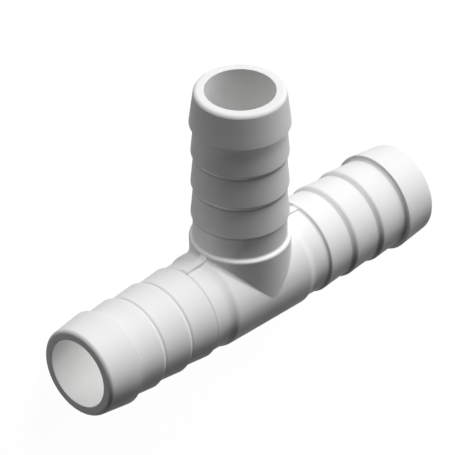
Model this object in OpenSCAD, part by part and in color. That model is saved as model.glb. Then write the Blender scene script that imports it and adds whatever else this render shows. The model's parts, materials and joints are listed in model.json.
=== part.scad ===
/* [Bores] */
// Inside diameter of the straight run, open from end to end
bore_d = 19.4; // [14:0.1:21]
// How much narrower the branch's bore is where it opens into the run's
bore_drop = 0.2; // [0.1:0.1:2]

/* [Body] */
// Diameter of the plain neck behind the barbs of each arm
neck_d = 25.2; // [24.9:0.1:26]
// Height of the run's thick middle above its necks
body_step = 0.7; // [0.4:0.05:1.2]
// Half of the length of the run's thick middle, from the branch's axis
body_half = 13.2; // [12:0.1:20]
// Convex radius where the thick middle starts to fall to the neck
body_edge_r = 2.8; // [1:0.1:6]
// Concave radius where that slope runs out into the neck
body_foot_r = 5.6; // [3:0.1:8]
// Height of the branch's collar above the branch's neck
collar_step = 1; // [0.6:0.05:1.3]
// Height of the collar's edge above the run's axis
collar_height = 14.4; // [13.6:0.1:24]
// Both radii of the small double curve from the collar to the branch's neck
collar_r = 0.75; // [0.7:0.05:1.5]
// How far the branch's sides lie inside the run's sides on the run's axis
branch_inset = 0.04; // [0.02:0.01:0.3]
// Radius of the rolling blend in the crotch between run and branch
crotch_r = 1.45; // [0.8:0.05:2]

/* [Arms] */
// Length of plain neck between the run's thick middle and its last barb
run_neck = 4.45; // [2:0.05:30]
// Length of plain neck between the branch's collar and its last barb
branch_neck = 6; // [2:0.05:30]

/* [Barbs] */
// How far the foot of each barb lies under the neck's surface
root_step = 0.15; // [0:0.05:0.5]
// Height of the sharp front barb above the barb foot
front_rise = 1.22; // [0.8:0.02:2]
// Distance from the end face to the front barb's sharp edge
front_length = 10.2; // [6:0.1:20]
// Height of each later barb above the barb foot
barb_rise = 0.7; // [0.6:0.02:1.2]
// Length of each later barb's sloping flank
barb_length = 8.35; // [4:0.05:16]
// Number of later barbs on each arm
barb_count = 3; // [1:1:6]
// Radius of the front barb's inside corner
front_foot_r = 0.6; // [0.2:0.05:0.8]
// Both radii of the soft double curve behind a later barb
barb_r = 1; // [0.6:0.05:2]
// Both radii of the tight double curve behind the last barb
last_barb_r = 0.33; // [0.15:0.01:0.6]
// Radius of the rounded nose at each end face
nose_r = 1.2; // [0.4:0.05:2]
// Height above the barb foot at which the rounded nose meets the front barb
nose_rise = 0.15; // [-0.45:0.05:0.5]

/* [Ribs] */
// Thickness of the rib on each side of the branch
rib_width = 2.2; // [1.2:0.1:4]
// Height of the rib above the neck, at the last barb
rib_low = 0.37; // [0.1:0.01:0.5]
// Height of the rib above the neck, where it starts to sweep up
rib_high = 1; // [0.75:0.05:1.6]
// Length of the rib's upward sweep, out from the collar
rib_sweep = 1.9; // [1:0.1:3]
// Radius of the rib's upward sweep
rib_sweep_r = 3; // [2.6:0.1:6]
// Radius in the corner between rib and neck
rib_foot_r = 0.4; // [0.2:0.05:0.8]

/* [Hidden] */
$fn = 96;

// turn per straight piece of a curve in an outline, in degrees
ARC_ANGLE = 8;
// crotch blend: pieces across it, its first bearing and the step between
// bearings, in degrees
BLEND_FACETS = 7;
BLEND_FIRST_ANGLE = 18;
BLEND_ANGLE_STEP = 4;
// how deep blends dip under the surfaces that they meet, so that all fuse
SINK = 0.015;
// how deep added material is rooted in the wall
ROOTED = 1;
// how far a cutting shape runs past the end face that it opens
CUT = 1;

neck_r = neck_d / 2;
root_r = neck_r - root_step;
nose_edge_r = root_r + nose_rise;
body_r = neck_r + body_step;
collar_edge_r = neck_r + collar_step;
crest_r = root_r + barb_rise;
front_crest_r = root_r + front_rise;
branch_bore_d = bore_d - bore_drop;

// the branch's sides widen a little from the run's axis to the collar
branch_root_r = body_r - branch_inset;
branch_widening = (collar_edge_r - branch_root_r) / collar_height;
branch_slant = atan(branch_widening);

// lengths of the double curves: run shoulder, collar, barb, last barb
body_fall = fall(body_step, body_edge_r, body_foot_r);
collar_fall = fall(collar_step, collar_r, collar_r);
barb_fall = fall(barb_rise, barb_r, barb_r);
last_fall = fall(crest_r - neck_r, last_barb_r, last_barb_r);

// lengths along an arm
tail_length = front_length + front_foot_r + barb_count * barb_length
    + (barb_count - 1) * barb_fall + last_fall;
body_end = body_half + body_fall;
collar_end = collar_height + collar_fall;
run_neck_end = body_end + run_neck;
run_end = run_neck_end + tail_length;
branch_end = collar_end + branch_neck + tail_length;

// slopes of the barb flanks, in degrees
front_slope = atan((front_crest_r - nose_edge_r) / (front_length - nose_r));
flank_slope = atan(barb_rise / barb_length);

// Outlines are lists of [distance, radius] points.

// Points of an arc about a centre; a zero radius gives a sharp corner.
function arc(centre, radius, from, to) =
    let (steps = max(1, ceil(abs(to - from) / ARC_ANGLE)))
    radius <= 0 ? [centre] : [
        for (i = [0:steps])
            let (a = from + (to - from) * i / steps)
            centre + radius * [cos(a), sin(a)]
    ];

// Turn of a double curve that falls by drop, in degrees.
function turn(drop, edge_r, foot_r) =
    acos(max(0, 1 - drop / (edge_r + foot_r)));

// Length along the arm of that double curve.
function fall(drop, edge_r, foot_r) =
    (edge_r + foot_r) * sin(turn(drop, edge_r, foot_r));

// Double curve from radius high at x down to radius low: a convex edge that
// a flank of slope before runs into, then a concave foot that runs out into
// a flank of slope after.
function step_down(x, high, low, edge_r, foot_r, before = 0, after = 0) =
    let (a = turn(high - low, edge_r, foot_r))
    let (end = x + fall(high - low, edge_r, foot_r))
    concat(
        arc([x, high - edge_r], edge_r, 90 + before, 90 - a),
        arc([end, low + foot_r], foot_r, 270 - a, 270 + after)
    );

// Where the flank of later barb number i starts, from the end face.
function flank_start(i) =
    front_length + front_foot_r + i * (barb_length + barb_fall);

// Hose tail, from the end face inward to the plain neck.
function tail_outline() = concat(
    arc([nose_r, nose_edge_r - nose_r], nose_r, 180, 90 + front_slope),
    step_down(front_length, front_crest_r, root_r, 0, front_foot_r,
        after = flank_slope),
    [
        for (i = [0:1:barb_count - 2])
            each step_down(flank_start(i) + barb_length, crest_r, root_r,
                barb_r, barb_r, flank_slope, flank_slope)
    ],
    step_down(flank_start(barb_count - 1) + barb_length, crest_r, neck_r,
        last_barb_r, last_barb_r, flank_slope)
);

// The same tail on an arm whose end face lies at end, from the neck outward.
function tail_on_arm(end) =
    let (tail = tail_outline())
    [for (i = [len(tail) - 1:-1:0]) [end - tail[i][0], tail[i][1]]];

// One half of the run, from the branch's axis to the end face.
function run_outline() = concat(
    step_down(body_half, body_r, neck_r, body_edge_r, body_foot_r),
    tail_on_arm(run_end)
);

// The branch, from the run's axis to its end face.
function branch_outline() = concat(
    [[0, branch_root_r]],
    step_down(collar_height, collar_edge_r, neck_r, collar_r, collar_r,
        branch_slant),
    tail_on_arm(branch_end)
);

// Solid of revolution about Z under an outline, closed on the axis.
module turned(outline) {
    first = outline[0];
    last = outline[len(outline) - 1];
    rotate_extrude()
        polygon(concat(
            [[0, first[0]]],
            [for (p = outline) [p[1], p[0]]],
            [[0, last[0]]]
        ));
}

// Outside of the run, along X.
module run_outside() {
    half = run_outline();
    other_half = [for (i = [len(half) - 1:-1:0]) [-half[i][0], half[i][1]]];
    rotate([0, 90, 0])
        turned(concat(other_half, half));
}

// Outside of the branch, along Y.
module branch_outside() {
    rotate([-90, 0, 0])
        turned(branch_outline());
}

// The crotch blend is what a ball leaves when it rolls round the branch in
// the corner with the run. Round the branch, bearing 0 faces up along Z and
// bearing 90 lies along the run.

// Where the ball rests on the run at distance t along it: the radius of its
// centre, and the direction from there to the touching point.
function ball_on_run(t) =
    let (a = turn(body_step, body_edge_r, body_foot_r))
    let (past_edge = max(0, t - body_half))
    let (over_edge = body_edge_r + crotch_r)
    let (before_neck = max(0, body_end - t))
    let (in_foot = body_foot_r - crotch_r)
    past_edge <= over_edge * sin(a)
        ? let (rise = sqrt(over_edge * over_edge - past_edge * past_edge))
            [body_r - body_edge_r + rise, [-past_edge, -rise] / over_edge]
        : let (dip = sqrt(in_foot * in_foot - before_neck * before_neck))
            [neck_r + body_foot_r - dip, [-before_neck, -dip] / in_foot];

// Distance of the ball's centre from the branch's axis, at height y.
function ball_reach(y) =
    branch_root_r + branch_widening * y + crotch_r / cos(branch_slant);

// Height at which the ball touches both, found by a few rounds of trial.
function ball_height(bearing, y = 0, rounds = 6) =
    let (x = ball_reach(y) * sin(bearing))
    let (z = ball_reach(y) * cos(bearing))
    let (r = ball_on_run(x)[0])
    rounds == 0 ? y
        : ball_height(bearing, sqrt(max(0, r * r - z * z)), rounds - 1);

// Unit vector on the great circle from p to q, at a share f of the way.
function between(p, q, f) =
    let (a = acos(p * q))
    (p * sin((1 - f) * a) + q * sin(f * a)) / sin(a);

// One cross-section of the blend: its concave curve, then a root point.
function blend_section(bearing) =
    let (y = ball_height(bearing))
    let (x = ball_reach(y) * sin(bearing))
    let (z = ball_reach(y) * cos(bearing))
    let (r = norm([y, z]))
    let (down = ball_on_run(x)[1])
    let (to_run = [down[0], down[1] * y / r, down[1] * z / r])
    let (to_branch = [
        -cos(branch_slant) * sin(bearing),
        sin(branch_slant),
        -cos(branch_slant) * cos(bearing)
    ])
    let (centre = [x, y, z])
    let (middle = between(to_run, to_branch, 0.5))
    concat(
        [
            for (i = [0:BLEND_FACETS])
                centre + (crotch_r + SINK)
                    * between(to_run, to_branch, i / BLEND_FACETS)
        ],
        [centre + (crotch_r / (middle * to_run) + ROOTED) * middle]
    );

// Crotch blend on the +X side, from the top of the tee round to its bottom.
module crotch_blend() {
    sections = [
        for (b = [BLEND_FIRST_ANGLE:BLEND_ANGLE_STEP:180 - BLEND_FIRST_ANGLE]) blend_section(b)
    ];
    n = BLEND_FACETS + 2;
    last = len(sections) - 1;
    polyhedron(
        points = [for (s = sections) each s],
        faces = concat(
            [for (i = [0:n - 3]) [n - 1, i + 1, i]],
            [for (i = [0:n - 3]) [last * n + n - 1, last * n + i, last * n + i + 1]],
            [
                for (s = [0:last - 1], i = [0:n - 1])
                    each [
                        [s * n + i, s * n + (i + 1) % n, (s + 1) * n + i],
                        [(s + 1) * n + i, s * n + (i + 1) % n, (s + 1) * n + (i + 1) % n]
                    ]
            ]
        ),
        convexity = 4
    );
}

// Side view of the rib on the +X side: a slightly rising top edge from the
// last barb, then a sweep up on to the collar.
module rib_side() {
    tip = [run_neck_end + last_fall, neck_r + rib_low];
    knee = [collar_edge_r + rib_sweep, neck_r + rib_high];
    rise = atan((knee[1] - tip[1]) / (tip[0] - knee[0]));
    centre = knee + rib_sweep_r * [sin(rise), cos(rise)];
    depth = bore_d / 2 + ROOTED;
    inner = centre[0] - (collar_edge_r - collar_r / 3);
    reach = asin(min(0.95, inner / rib_sweep_r));
    sweep = arc(centre, rib_sweep_r, 270 - rise, 270 - reach);
    top = sweep[len(sweep) - 1];
    polygon(concat(
        [[tip[0], depth], tip],
        sweep,
        [[collar_edge_r - 2 * collar_r, top[1]], [collar_edge_r - 2 * collar_r, depth]]
    ));
}

// Rib seen along the run: flat flanks with a hollow curve down to the neck.
module rib_front() {
    half = rib_width / 2;
    centre = [half + rib_foot_r, sqrt(pow(neck_r + rib_foot_r, 2) - pow(half + rib_foot_r, 2))];
    inward = atan(centre[0] / centre[1]);
    foot = arc(centre, rib_foot_r + SINK, 180, 270 - inward);
    toe = foot[len(foot) - 1];
    depth = bore_d / 2 + ROOTED / 2;
    flank = concat(
        [[half, 2 * collar_height], [half, centre[1]]],
        [for (p = foot) if (p[0] > half) p],
        [[toe[0], depth]]
    );
    polygon(concat(flank, [for (i = [len(flank) - 1:-1:0]) [-flank[i][0], flank[i][1]]]));
}

// Rib on the +X side of the branch.
module rib() {
    intersection() {
        linear_extrude(height = 4 * rib_width, center = true)
            rib_side();
        rotate([0, 90, 0])
            linear_extrude(height = run_end)
                rib_front();
    }
}

// Both bores; the branch's stops on the run's axis.
module bores() {
    rotate([0, 90, 0])
        cylinder(d = bore_d, h = 2 * (run_end + CUT), center = true);
    rotate([-90, 0, 0])
        cylinder(d = branch_bore_d, h = branch_end + CUT);
}

// The whole tee, moulded as one piece. The run lies along X, the branch
// points along +Y, and their axes cross at the origin.
module tee_body() {
    color("whitesmoke")
        difference() {
            union() {
                run_outside();
                branch_outside();
                for (side = [0, 1])
                    mirror([side, 0, 0]) {
                        crotch_blend();
                        rib();
                    }
            }
            bores();
        }
}

tee_body();
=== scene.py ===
"""A moulded hose tee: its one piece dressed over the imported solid, and the studio round it."""

import json
import logging
import math
from dataclasses import dataclass, field
from enum import Enum
from typing import Iterable, Optional

import bpy
from mathutils import Matrix, Vector

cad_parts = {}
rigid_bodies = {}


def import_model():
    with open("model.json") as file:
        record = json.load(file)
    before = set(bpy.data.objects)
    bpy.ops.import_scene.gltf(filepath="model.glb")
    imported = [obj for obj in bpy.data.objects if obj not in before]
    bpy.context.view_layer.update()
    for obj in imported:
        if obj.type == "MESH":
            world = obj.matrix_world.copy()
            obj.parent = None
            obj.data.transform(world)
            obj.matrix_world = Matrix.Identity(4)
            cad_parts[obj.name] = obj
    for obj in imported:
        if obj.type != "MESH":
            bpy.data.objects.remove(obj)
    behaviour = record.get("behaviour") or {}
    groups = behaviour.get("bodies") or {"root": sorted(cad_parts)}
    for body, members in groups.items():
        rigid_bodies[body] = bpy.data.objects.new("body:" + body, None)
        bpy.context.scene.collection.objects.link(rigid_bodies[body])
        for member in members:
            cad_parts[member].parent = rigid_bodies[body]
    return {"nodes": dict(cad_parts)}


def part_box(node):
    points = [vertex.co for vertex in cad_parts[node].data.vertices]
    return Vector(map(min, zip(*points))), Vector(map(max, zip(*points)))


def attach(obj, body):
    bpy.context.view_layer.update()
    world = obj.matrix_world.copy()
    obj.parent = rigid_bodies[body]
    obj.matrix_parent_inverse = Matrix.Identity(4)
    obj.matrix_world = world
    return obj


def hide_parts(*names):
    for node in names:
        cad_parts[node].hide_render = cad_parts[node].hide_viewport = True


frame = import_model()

log = logging.getLogger("hose_tee")

MM = 0.001
CAD_NODE = "tee_body"
PLASTIC_IOR = 1.49

Colour = tuple[float, float, float]
Socket = bpy.types.NodeSocket


class Passage(Enum):
    """The two bores, each by the axis that it runs along."""

    RUN = 0
    BRANCH = 1

    @property
    def across(self) -> tuple[int, int]:
        """The two coordinates that measure the distance from the bore's axis."""
        return tuple(i for i in range(3) if i != self.value)


class Skin(Enum):
    """The finishes of the moulding, by the order of its material slots."""

    OUTSIDE = 0
    RUN_BORE = 1
    BRANCH_BORE = 2


@dataclass(frozen=True)
class RoundWall:
    """A straight round outer wall round one of the passages."""

    passage: Passage
    radius: float
    widening: float
    start: float
    end: float
    slack: float = 0.002 * MM
    end_slack: float = 0.02 * MM

    def holds(self, place: Vector) -> bool:
        """Tells whether a point lies on the wall.

        Args:
            place: The point.

        Returns:
            True on the wall, its two ends included.
        """
        along = place[self.passage.value]
        reach = math.hypot(*(place[i] for i in self.passage.across))
        on_wall = abs(reach - self.radius - self.widening * along) < self.slack
        return on_wall and self.start - self.slack < along < self.end + self.slack

    def ends_at(self, place: Vector) -> bool:
        """Tells whether a point lies as far along as one of the wall's ends."""
        along = place[self.passage.value]
        return min(abs(along - self.start), abs(along - self.end)) < self.end_slack


def only(obj: bpy.types.Object) -> None:
    """Deselects everything and makes one object the selected, active one.

    Args:
        obj: The object to work on.
    """
    if bpy.context.mode != "OBJECT":
        bpy.ops.object.mode_set(mode="OBJECT")
    bpy.ops.object.select_all(action="DESELECT")
    obj.select_set(True)
    bpy.context.view_layer.objects.active = obj


def start_picking(obj: bpy.types.Object, kind: str) -> None:
    """Clears the selection inside a mesh, so that its parts can be picked in code.

    Args:
        obj: The mesh object.
        kind: What is to be picked, "VERT", "EDGE" or "FACE".
    """
    only(obj)
    bpy.ops.object.mode_set(mode="EDIT")
    bpy.ops.mesh.select_mode(type=kind)
    bpy.ops.mesh.select_all(action="DESELECT")
    bpy.ops.object.mode_set(mode="OBJECT")


def faces_beside(mesh: bpy.types.Mesh) -> dict[tuple[int, int], list[bpy.types.MeshPolygon]]:
    """Finds the faces on both sides of each edge.

    Args:
        mesh: The mesh.

    Returns:
        Each edge's two vertices, in rising order, with its faces.
    """
    beside: dict[tuple[int, int], list[bpy.types.MeshPolygon]] = {}
    for face in mesh.polygons:
        for key in face.edge_keys:
            beside.setdefault(key, []).append(face)
    return beside


@dataclass
class NodeSheet:
    """A small writer for one node tree."""

    tree: bpy.types.NodeTree

    def add(self, kind: str, label: str = "", **values: object) -> bpy.types.Node:
        """Adds a node and sets its plain properties.

        Args:
            kind: Blender's name of the node type.
            label: What the node is for.
            **values: Properties of the node.

        Returns:
            The new node.
        """
        node = self.tree.nodes.new(kind)
        node.label = label
        for name, value in values.items():
            setattr(node, name, value)
        return node

    def feed(self, source: object, target: Socket) -> None:
        """Gives a socket its value.

        Args:
            source: A socket to link, or a plain value to write.
            target: The socket that takes it.
        """
        if isinstance(source, Socket):
            self.tree.links.new(source, target)
        else:
            target.default_value = source

    def math(self, operation: str, *terms: object, label: str = "") -> Socket:
        """Adds a Math node.

        Args:
            operation: The node's operation, such as "MULTIPLY".
            *terms: Sockets or plain numbers, in order.
            label: What the node is for.

        Returns:
            The node's output.
        """
        node = self.add("ShaderNodeMath", label, operation=operation)
        for place, term in zip(node.inputs, terms):
            self.feed(term, place)
        return node.outputs["Value"]

    def noise(
        self, vector: Socket, scale: object, label: str, detail: float, roughness: float = 0.5
    ) -> Socket:
        """Adds a Noise Texture.

        Args:
            vector: The coordinates that it reads.
            scale: A number or a socket, in features per metre.
            label: What the noise stands for.
            detail: Octaves.
            roughness: Weight of the finer octaves.

        Returns:
            The noise, about 0.5 on average.
        """
        node = self.add("ShaderNodeTexNoise", label)
        self.feed(vector, node.inputs["Vector"])
        self.feed(scale, node.inputs["Scale"])
        self.feed(detail, node.inputs["Detail"])
        self.feed(roughness, node.inputs["Roughness"])
        return node.outputs["Fac"]

    def mix(self, label: str, share: Socket, low: object, high: object) -> Socket:
        """Adds a Mix node for two colours.

        Args:
            label: What the mix stands for.
            share: The mask, where 0 gives the low colour and 1 the high one.
            low: A colour or a socket.
            high: A colour or a socket.

        Returns:
            The mixed colour.
        """
        node = self.add("ShaderNodeMix", label, data_type="RGBA")
        takes = {socket.identifier: socket for socket in node.inputs}
        gives = {socket.identifier: socket for socket in node.outputs}
        self.feed(share, takes["Factor_Float"])
        self.feed(low, takes["A_Color"])
        self.feed(high, takes["B_Color"])
        return gives["Result_Color"]

    def bump(self, label: str, height: Socket, depth: float, under: Optional[Socket] = None) -> Socket:
        """Adds a Bump node at full strength.

        Args:
            label: What the relief stands for.
            height: The relief, from 0 to 1.
            depth: How high it really stands, in metres.
            under: The normal of a coarser relief that carries this one.

        Returns:
            The normal.
        """
        node = self.add("ShaderNodeBump", label)
        self.feed(1.0, node.inputs["Strength"])
        self.feed(depth, node.inputs["Distance"])
        self.feed(height, node.inputs["Height"])
        if under is not None:
            self.feed(under, node.inputs["Normal"])
        return node.outputs["Normal"]


def new_group(name: str, inputs: dict[str, tuple[str, float]], outputs: Iterable[str]) -> NodeSheet:
    """Starts a shader node group with named sockets.

    Args:
        name: The group's name.
        inputs: Socket name to its type ("VECTOR" or "FLOAT") and usual value.
        outputs: Names of the float outputs.

    Returns:
        The writer for the new group.
    """
    tree = bpy.data.node_groups.new(name, "ShaderNodeTree")
    for socket, (kind, usual) in inputs.items():
        made = tree.interface.new_socket(
            socket, in_out="INPUT", socket_type="NodeSocket" + kind.title()
        )
        if kind == "FLOAT":
            made.default_value = usual
    for socket in outputs:
        tree.interface.new_socket(socket, in_out="OUTPUT", socket_type="NodeSocketFloat")
    return NodeSheet(tree)


def mould_grain_group() -> bpy.types.NodeTree:
    """The fine, even grain that an eroded mould leaves on plastic.

    Returns:
        A group with the grain's height and a slow cloudiness of the melt.
    """
    sheet = new_group(
        "mould_grain",
        {
            "Vector": ("VECTOR", 0.0),
            "Grain Scale": ("FLOAT", 3600.0),
            "Cloud Scale": ("FLOAT", 90.0),
        },
        ("Grain", "Cloud"),
    )
    start = sheet.add("NodeGroupInput").outputs
    end = sheet.add("NodeGroupOutput").inputs
    fine = sheet.noise(
        start["Vector"], start["Grain Scale"], "eroded grain", detail=2.0, roughness=0.6
    )
    cloud = sheet.noise(start["Vector"], start["Cloud Scale"], "cloudy melt", detail=3.0)
    sheet.feed(fine, end["Grain"])
    sheet.feed(cloud, end["Cloud"])
    return sheet.tree


@dataclass
class PlasticDraft:
    """A plastic material in the making, with what all the tee's finishes share."""

    material: bpy.types.Material
    sheet: NodeSheet
    shader: bpy.types.Node
    place: Socket
    texture: bpy.types.Node

    @classmethod
    def begin(cls, name: str, grain: bpy.types.NodeTree) -> "PlasticDraft":
        """Starts a material that reads the mould's grain at each point's place.

        Args:
            name: The material's name.
            grain: The shared grain group.

        Returns:
            The draft.
        """
        material = bpy.data.materials.new(name)
        material.use_nodes = True
        sheet = NodeSheet(material.node_tree)
        shader = material.node_tree.nodes["Principled BSDF"]
        shader.inputs["IOR"].default_value = PLASTIC_IOR
        place = sheet.add("ShaderNodeTexCoord").outputs["Object"]
        texture = sheet.add("ShaderNodeGroup", "mould grain", node_tree=grain)
        sheet.feed(place, texture.inputs["Vector"])
        return cls(material, sheet, shader, place, texture)

    def clouded(self, colour: Colour, depth: float) -> Socket:
        """The plastic's colour, a little darker in slow clouds.

        Args:
            colour: The colour at its palest.
            depth: How much darker it gets, as a share.

        Returns:
            The colour.
        """
        darker = (*(c * (1 - depth) for c in colour), 1)
        return self.sheet.mix("cloudy colour", self.texture.outputs["Cloud"], darker, (*colour, 1))

    def uneven(self, noise: Socket, middle: float, spread: float) -> Socket:
        """A value that swings round its middle with a noise.

        Args:
            noise: The noise, about 0.5 on average.
            middle: The value's middle.
            spread: How far its lowest and highest lie apart.

        Returns:
            The value.
        """
        swing = self.sheet.math("MULTIPLY", noise, spread)
        return self.sheet.math("ADD", swing, middle - spread / 2)


@dataclass(frozen=True)
class MouldedOutside:
    """Matte moulded plastic: pale, faintly cloudy, with rubbed crests, and painted shade in the feet
    of the barbs.
    """

    colour: Colour = (0.88, 0.88, 0.875)
    cloud_depth: float = 0.035
    roughness: float = 0.62
    roughness_spread: float = 0.10
    specular: float = 0.2
    crest_radius: float = 13.0 * MM
    crest_width: float = 0.5 * MM
    crest_polish: float = 0.10
    feet_from_end: tuple[float, ...] = (10.7 * MM, 20.6 * MM, 30.5 * MM, 39.5 * MM)
    foot_width: float = 0.75 * MM
    # How much the painted shade darkens the colour in the feet of the barbs.
    foot_shade_depth: float = 0.38
    grain_height: float = 0.012 * MM
    wave_height: float = 0.03 * MM
    waves_per_metre: float = 160.0

    def make(
        self, grain: bpy.types.NodeTree, arm_ends: dict[Passage, float]
    ) -> bpy.types.Material:
        """Builds the material.

        Args:
            grain: The shared grain group.
            arm_ends: How far each passage reaches from the crossing.

        Returns:
            The finished material.
        """
        draft = PlasticDraft.begin("moulded_outside", grain)
        sheet, inputs = draft.sheet, draft.shader.inputs
        split = sheet.add("ShaderNodeSeparateXYZ")
        sheet.feed(draft.place, split.inputs["Vector"])

        clean = draft.clouded(self.colour, self.cloud_depth)
        # Painted shade: the colour is darkened in the feet of the barbs, where the creases would lie
        # in shade.
        painted_shade = (*(c * (1 - self.foot_shade_depth) for c in self.colour), 1)
        feet = self.foot_shade_mask(sheet, split, arm_ends)
        sheet.feed(sheet.mix("painted foot shade", feet, clean, painted_shade), inputs["Base Color"])

        matt = draft.uneven(draft.texture.outputs["Cloud"], self.roughness, self.roughness_spread)
        polish = sheet.math("MULTIPLY", self.rubbed_crests(sheet, split), self.crest_polish)
        sheet.feed(sheet.math("SUBTRACT", matt, polish, label="roughness"), inputs["Roughness"])
        inputs["Specular IOR Level"].default_value = self.specular

        wave = sheet.noise(draft.place, self.waves_per_metre, "sink and flow waves", detail=1.0)
        waves = sheet.bump("flow waves", wave, self.wave_height)
        grained = sheet.bump("mould grain", draft.texture.outputs["Grain"], self.grain_height, waves)
        sheet.feed(grained, inputs["Normal"])
        return draft.material

    def rubbed_crests(self, sheet: NodeSheet, split: bpy.types.Node) -> Socket:
        """A mask that is 1 on the barbs' crests, where hoses rub them smooth.

        Args:
            sheet: The material's writer.
            split: The point's three coordinates.

        Returns:
            The mask, from 0 to 1.
        """
        squares = [sheet.math("POWER", coordinate, 2.0) for coordinate in split.outputs]
        reaches = [
            sheet.math("SQRT", sheet.math("ADD", *(squares[i] for i in passage.across)))
            for passage in Passage
        ]
        nearer = sheet.math("MINIMUM", *reaches, label="distance from the nearer axis")
        past = sheet.math("SUBTRACT", nearer, self.crest_radius)
        rise = sheet.math("DIVIDE", past, self.crest_width)
        mask = sheet.add("ShaderNodeClamp", "rubbed crests")
        sheet.feed(rise, mask.inputs["Value"])
        return mask.outputs["Result"]

    def foot_shade_mask(
        self, sheet: NodeSheet, split: bpy.types.Node, arm_ends: dict[Passage, float]
    ) -> Socket:
        """A mask that is 1 in the feet of the barbs, where shade is painted into the colour.

        Args:
            sheet: The material's writer.
            split: The point's three coordinates.
            arm_ends: How far each passage reaches from the crossing.

        Returns:
            The mask, from 0 to 1.
        """
        away = []
        for passage, end in arm_ends.items():
            along = sheet.math("ABSOLUTE", split.outputs[passage.value])
            from_end = sheet.math("SUBTRACT", end, along, label="distance from the end face")
            for foot in self.feet_from_end:
                away.append(sheet.math("ABSOLUTE", sheet.math("SUBTRACT", from_end, foot)))
        nearest = away[0]
        for other in away[1:]:
            nearest = sheet.math("MINIMUM", nearest, other)
        fade = sheet.math("SUBTRACT", 1.0, sheet.math("DIVIDE", nearest, self.foot_width))
        return sheet.math("MAXIMUM", fade, 0.0, label="feet of the barbs")


@dataclass(frozen=True)
class DrawnBore:
    """The smoother wall that a core pin leaves, with faint marks along its travel."""

    passage: Passage
    colour: Colour = (0.87, 0.87, 0.865)
    cloud_depth: float = 0.03
    roughness: float = 0.38
    mark_spread: float = 0.12
    mark_height: float = 0.012 * MM
    marks_per_metre: float = 1400.0
    marks_along: float = 0.02
    grain_per_metre: float = 5200.0
    grain_share: float = 0.3

    def make(self, grain: bpy.types.NodeTree) -> bpy.types.Material:
        """Builds the material.

        Args:
            grain: The shared grain group.

        Returns:
            The finished material.
        """
        draft = PlasticDraft.begin(f"drawn_{self.passage.name.lower()}_bore", grain)
        sheet, inputs = draft.sheet, draft.shader.inputs
        draft.texture.inputs["Grain Scale"].default_value = self.grain_per_metre
        marks = self.draw_marks(sheet, draft.place)
        sheet.feed(draft.clouded(self.colour, self.cloud_depth), inputs["Base Color"])
        sheet.feed(draft.uneven(marks, self.roughness, self.mark_spread), inputs["Roughness"])
        fine = sheet.math("MULTIPLY", draft.texture.outputs["Grain"], self.grain_share)
        height = sheet.math("ADD", marks, fine)
        sheet.feed(sheet.bump("draw marks", height, self.mark_height), inputs["Normal"])
        return draft.material

    def draw_marks(self, sheet: NodeSheet, place: Socket) -> Socket:
        """Noise drawn out along the pin's travel.

        Args:
            sheet: The material's writer.
            place: The point's place.

        Returns:
            The marks, about 0.5 on average.
        """
        stretch = [1.0, 1.0, 1.0]
        stretch[self.passage.value] = self.marks_along
        squeeze = sheet.add("ShaderNodeMapping", "stretch along the pin's travel")
        squeeze.inputs["Scale"].default_value = stretch
        sheet.feed(place, squeeze.inputs["Vector"])
        drawn = squeeze.outputs["Vector"]
        return sheet.noise(drawn, self.marks_per_metre, "draw marks", detail=3.0, roughness=0.6)


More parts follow.
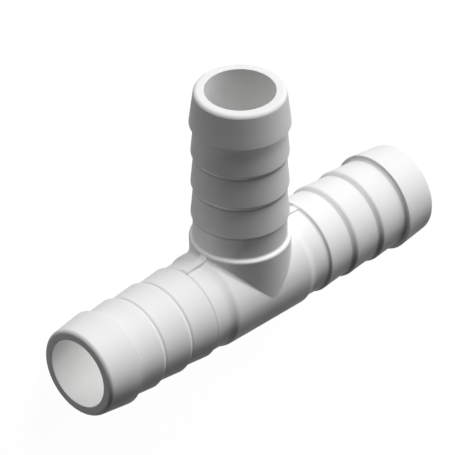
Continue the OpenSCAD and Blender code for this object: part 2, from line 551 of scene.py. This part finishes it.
@dataclass
class TeeMoulding:
    """The whole tee as it leaves its mould, with its hard edges eased."""

    name: str = "tee_moulding"
    merge_gap: float = 0.0001 * MM
    edge_ease: float = 0.14 * MM
    ease_steps: int = 3
    hard_edge: float = math.radians(80)
    smooth_up_to: float = math.radians(38)
    walls: tuple[RoundWall, ...] = (
        RoundWall(
            Passage.RUN, radius=13.3 * MM, widening=0.0, start=-13.2 * MM, end=13.2 * MM
        ),
        RoundWall(
            Passage.BRANCH, radius=13.26 * MM, widening=0.34 / 14.4, start=0.0, end=14.38 * MM
        ),
    )
    foot_reach: float = 4.5 * MM
    foot_height: float = 9.0 * MM
    blend_end: tuple[float, float, float] = (4.34 * MM, 4.16 * MM, 12.6327 * MM)
    blend_end_reach: float = 0.2 * MM
    bore_radius: float = 9.7 * MM
    bore_slack: float = 0.06 * MM
    facing_in: float = 0.9
    outside: MouldedOutside = field(default_factory=MouldedOutside)

    def build(self) -> bpy.types.Object:
        """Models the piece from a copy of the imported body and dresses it.

        Returns:
            The finished piece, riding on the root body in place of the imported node.
        """
        piece = self.copy_body()
        self.merge(piece)
        self.ease_edges(piece)
        self.fade_blends(piece)
        self.crisp_foot(piece)
        self.shade(piece)
        self.dress(piece)
        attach(piece, "root")
        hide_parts(CAD_NODE)
        return piece

    def copy_body(self) -> bpy.types.Object:
        """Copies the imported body, with a mesh of its own.

        Returns:
            The copy, at the origin and free of any parent.
        """
        body = frame["nodes"][CAD_NODE]
        only(body)
        bpy.ops.object.duplicate(linked=False)
        piece = bpy.context.view_layer.objects.active
        piece.name = piece.data.name = self.name
        bpy.ops.object.parent_clear(type="CLEAR_KEEP_TRANSFORM")
        piece.matrix_world = Matrix.Identity(4)
        for key in [k for k in piece.keys() if k.startswith("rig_")]:
            del piece[key]
        return piece

    def merge(self, piece: bpy.types.Object) -> None:
        """Joins the copy's loose triangles into one closed skin.

        Args:
            piece: The copy.
        """
        only(piece)
        bpy.ops.mesh.customdata_custom_splitnormals_clear()
        bpy.ops.object.mode_set(mode="EDIT")
        bpy.ops.mesh.select_all(action="SELECT")
        bpy.ops.mesh.remove_doubles(threshold=self.merge_gap)
        bpy.ops.object.mode_set(mode="OBJECT")

    def ease_edges(self, piece: bpy.types.Object) -> None:
        """Rounds the mouths, the front barbs' crests and the ribs, which no mould leaves square.

        Args:
            piece: The merged copy.
        """
        start_picking(piece, "EDGE")
        points = piece.data.vertices
        beside = faces_beside(piece.data)
        for edge in piece.data.edges:
            one, other = beside[tuple(sorted(edge.vertices))]
            middle = (points[edge.vertices[0]].co + points[edge.vertices[1]].co) / 2
            square = one.normal.angle(other.normal) > self.hard_edge
            outward = (other.center - middle).dot(one.normal) < 0
            edge.select = square and outward and not self.is_left_sharp(middle)
        bpy.ops.object.mode_set(mode="EDIT")
        bpy.ops.mesh.bevel(offset=self.edge_ease, segments=self.ease_steps, clamp_overlap=False)
        bpy.ops.object.mode_set(mode="OBJECT")

    def is_left_sharp(self, place: Vector) -> bool:
        """Tells whether an edge lies where the bores cross, or at the fine end of a crotch blend.

        Args:
            place: The edge's middle.

        Returns:
            True where the edge stays sharp.
        """
        from_run, from_branch = math.hypot(place.y, place.z), math.hypot(place.x, place.z)
        crossing = max(from_run, from_branch) < self.bore_radius + self.bore_slack
        blend_end = abs(place.x) < self.foot_reach and place.y < self.foot_height
        return crossing or blend_end

    def fade_blends(self, piece: bpy.types.Object) -> None:
        """Draws the four fine ends of the crotch blends together, so that they fade out.

        Args:
            piece: The piece, with its edges eased.
        """
        for across in (-1, 1):
            for up in (-1, 1):
                start_picking(piece, "VERT")
                end = Vector((across * self.blend_end[0], self.blend_end[1], up * self.blend_end[2]))
                for point in piece.data.vertices:
                    if (point.co - end).length < self.blend_end_reach:
                        point.co = end
                        point.select = True
                bpy.ops.object.mode_set(mode="EDIT")
                bpy.ops.mesh.remove_doubles(threshold=self.merge_gap)
                bpy.ops.object.mode_set(mode="OBJECT")

    def crisp_foot(self, piece: bpy.types.Object) -> None:
        """Keeps crisp lines where the round walls give way to each other and to the blends.

        Args:
            piece: The piece, with its blends faded out.
        """
        start_picking(piece, "EDGE")
        points = piece.data.vertices
        beside = faces_beside(piece.data)
        for wall in self.walls:
            held = [wall.holds(p.co) for p in points]
            at_end = [wall.ends_at(p.co) for p in points]
            for edge in piece.data.edges:
                pair = tuple(sorted(edge.vertices))
                if all(held[i] for i in pair) and not all(at_end[i] for i in pair):
                    sides = [all(held[i] for i in face.vertices) for face in beside[pair]]
                    edge.select = edge.select or any(sides) and not all(sides)
        bpy.ops.object.mode_set(mode="EDIT")
        bpy.ops.mesh.mark_sharp()
        bpy.ops.object.mode_set(mode="OBJECT")

    def shade(self, piece: bpy.types.Object) -> None:
        """Smooths the shading, and lets the broad faces lead it.

        Args:
            piece: The modelled piece.
        """
        only(piece)
        bpy.ops.object.shade_smooth_by_angle(angle=self.smooth_up_to)
        weigh = piece.modifiers.new("even_normals", "WEIGHTED_NORMAL")
        weigh.keep_sharp = True
        weigh.mode = "FACE_AREA_WITH_ANGLE"
        bpy.ops.object.modifier_apply(modifier=weigh.name)

    def dress(self, piece: bpy.types.Object) -> None:
        """Gives the outside and each bore its own finish.

        Args:
            piece: The modelled piece.
        """
        grain = mould_grain_group()
        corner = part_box(CAD_NODE)[1]
        finishes = {
            Skin.OUTSIDE: self.outside.make(
                grain, {passage: corner[passage.value] for passage in Passage}
            ),
            Skin.RUN_BORE: DrawnBore(Passage.RUN).make(grain),
            Skin.BRANCH_BORE: DrawnBore(Passage.BRANCH).make(grain),
        }
        piece.data.materials.clear()
        for skin in Skin:
            piece.data.materials.append(finishes[skin])
        self.line_bore(piece, Passage.RUN, Skin.RUN_BORE)
        self.line_bore(piece, Passage.BRANCH, Skin.BRANCH_BORE)

    def line_bore(self, piece: bpy.types.Object, passage: Passage, skin: Skin) -> None:
        """Gives a bore's wall its finish; its faces are picked by place and normal.

        Args:
            piece: The modelled piece.
            passage: The bore.
            skin: Its finish.
        """
        start_picking(piece, "FACE")
        a, b = passage.across
        for face in piece.data.polygons:
            centre, normal = face.center, face.normal
            reach = math.hypot(centre[a], centre[b])
            inward = -(centre[a] * normal[a] + centre[b] * normal[b])
            near = reach < self.bore_radius + self.bore_slack
            face.select = near and inward > self.facing_in * reach
        piece.active_material_index = skin.value
        bpy.ops.object.mode_set(mode="EDIT")
        bpy.ops.object.material_slot_assign()
        bpy.ops.object.mode_set(mode="OBJECT")


@dataclass(frozen=True)
class Lamp:
    """A soft, far lamp: where its light comes from, and how strong and wide it is."""

    name: str
    towards: tuple[float, float, float]
    level: float
    spread: float
    casts_shadow: bool = True
    distance: float = 0.8

    def hang(self) -> bpy.types.Object:
        """Adds the lamp; a level of 1 shows a facing surface in its own colour.

        Returns:
            The lamp's object.
        """
        data = bpy.data.lights.new(self.name, "SUN")
        data.energy = math.pi * self.level
        data.angle = math.radians(self.spread)
        data.use_shadow = self.casts_shadow
        lamp = bpy.data.objects.new(self.name, data)
        bpy.context.scene.collection.objects.link(lamp)
        lamp.rotation_euler = Vector(self.towards).to_track_quat("Z", "Y").to_euler()
        lamp.location = Vector(self.towards).normalized() * self.distance
        return lamp


@dataclass
class Studio:
    """The pale floor, the soft light and the camera.

    The key and the right fill shape the barbs and lay the shadow on the floor. The bore fill comes
    from the key's side and casts no shadow, so the bores aren't lost in the dark, and the two lamps
    from below stand for light thrown back by a pale table.
    """

    floor_size: float = 1.2
    floor_gap: float = 0.02 * MM
    floor_grey: float = 0.26
    floor_white: float = 0.94
    world_grey: float = 0.02
    lamps: tuple[Lamp, ...] = (
        Lamp("key_lamp", (0.14, 0.97, 0.19), level=0.38, spread=20.0),
        Lamp("bore_fill", (0.14, 0.97, 0.19), level=0.46, spread=20.0, casts_shadow=False),
        Lamp("right_fill", (0.80, 0.50, 0.30), level=0.34, spread=40.0),
        Lamp("low_left_fill", (-0.60, 0.10, -0.80), level=0.12, spread=30.0, casts_shadow=False),
        Lamp("low_front_fill", (0.10, -0.92, -0.38), level=0.10, spread=60.0, casts_shadow=False),
    )
    camera_back: tuple[float, float, float] = (-0.57735, 0.57735, 0.57735)
    camera_up: tuple[float, float, float] = (0.40825, 0.81650, -0.40825)
    aim_right: float = -3.33 * MM
    aim_up: float = 13.79 * MM
    view_width: float = 120.69 * MM
    distance: float = 5.2
    nearest_seen: float = 1.0
    farthest_seen: float = 20.0
    sensor: float = 36.0

    def build(self) -> None:
        """Sets up the whole studio."""
        self.lay_floor()
        self.light_world()
        for lamp in self.lamps:
            lamp.hang()
        self.place_camera()
        bpy.context.scene.view_settings.view_transform = "Standard"

    def seen_directly(self, sheet: NodeSheet) -> Socket:
        """A value that is 1 where the camera, a gloss or a clear part sees the backdrop.

        Args:
            sheet: The writer of the backdrop's material.

        Returns:
            The value, 0 or 1.
        """
        path = sheet.add("ShaderNodeLightPath").outputs
        seen = sheet.math("MAXIMUM", path["Is Camera Ray"], path["Is Glossy Ray"])
        return sheet.math("MAXIMUM", seen, path["Is Transmission Ray"])

    def lay_floor(self) -> bpy.types.Object:
        """Lays the floor just under the tee, where its front barbs rest.

        Returns:
            The floor.
        """
        bpy.ops.object.select_all(action="DESELECT")
        bpy.ops.mesh.primitive_plane_add(size=self.floor_size)
        floor = bpy.context.view_layer.objects.active
        floor.name = floor.data.name = "pale_floor"
        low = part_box(CAD_NODE)[0].z
        floor.data.transform(Matrix.Translation((0, 0, low - self.floor_gap)))
        floor.data.materials.append(self.floor_finish())
        return floor

    def floor_finish(self) -> bpy.types.Material:
        """A floor that is plain white to the camera, keeps the shadow and is clear from below.

        Returns:
            The finished material.
        """
        material = bpy.data.materials.new("pale_floor")
        material.use_nodes = True
        tree = material.node_tree
        tree.nodes.remove(tree.nodes["Principled BSDF"])
        sheet = NodeSheet(tree)
        plain = sheet.add("ShaderNodeBsdfDiffuse")
        plain.inputs["Color"].default_value = (*(self.floor_grey,) * 3, 1)
        glow = sheet.add("ShaderNodeEmission")
        glow.inputs["Color"].default_value = (1, 1, 1, 1)
        white = sheet.math("MULTIPLY", self.seen_directly(sheet), self.floor_white)
        sheet.feed(white, glow.inputs["Strength"])
        both = sheet.add("ShaderNodeAddShader")
        clear = sheet.add("ShaderNodeBsdfTransparent")
        from_below = sheet.add("ShaderNodeMixShader", "clear from below")
        under = sheet.add("ShaderNodeNewGeometry").outputs["Backfacing"]
        for source, target in (
            (plain.outputs[0], both.inputs[0]),
            (glow.outputs[0], both.inputs[1]),
            (under, from_below.inputs[0]),
            (both.outputs[0], from_below.inputs[1]),
            (clear.outputs[0], from_below.inputs[2]),
            (from_below.outputs[0], tree.nodes["Material Output"].inputs["Surface"]),
        ):
            sheet.feed(source, target)
        return material

    def light_world(self) -> None:
        """A white backdrop for the camera, and a soft grey fill for all surfaces."""
        world = bpy.data.worlds.new("studio_world")
        bpy.context.scene.world = world
        world.use_nodes = True
        sheet = NodeSheet(world.node_tree)
        sky = world.node_tree.nodes["Background"]
        sky.inputs["Color"].default_value = (1, 1, 1, 1)
        lift = sheet.math("MULTIPLY", self.seen_directly(sheet), 1 - self.world_grey)
        sheet.feed(sheet.math("ADD", lift, self.world_grey), sky.inputs["Strength"])

    def place_camera(self) -> bpy.types.Object:
        """Places the far camera, rolled as the tee is drawn.

        Returns:
            The camera's object.
        """
        back, up = Vector(self.camera_back), Vector(self.camera_up)
        right = up.cross(back)
        data = bpy.data.cameras.new("camera")
        data.sensor_width = self.sensor
        data.lens = self.sensor * self.distance / self.view_width
        data.clip_start = self.nearest_seen
        data.clip_end = self.farthest_seen
        camera = bpy.data.objects.new("camera", data)
        bpy.context.scene.collection.objects.link(camera)
        turn = Matrix((right, up, back)).transposed().to_4x4()
        aim = right * self.aim_right + up * self.aim_up
        camera.matrix_world = Matrix.Translation(aim + back * self.distance) @ turn
        bpy.context.scene.camera = camera
        return camera


def main() -> None:
    """Builds the tee and its studio, and reports each piece."""
    logging.basicConfig(level=logging.INFO, format="%(name)s: %(message)s")
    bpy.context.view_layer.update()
    piece = TeeMoulding().build()
    log.info("%s: %d faces", piece.name, len(piece.data.polygons))
    Studio().build()
    log.info("studio ready")


if __name__ == "__main__":
    main()
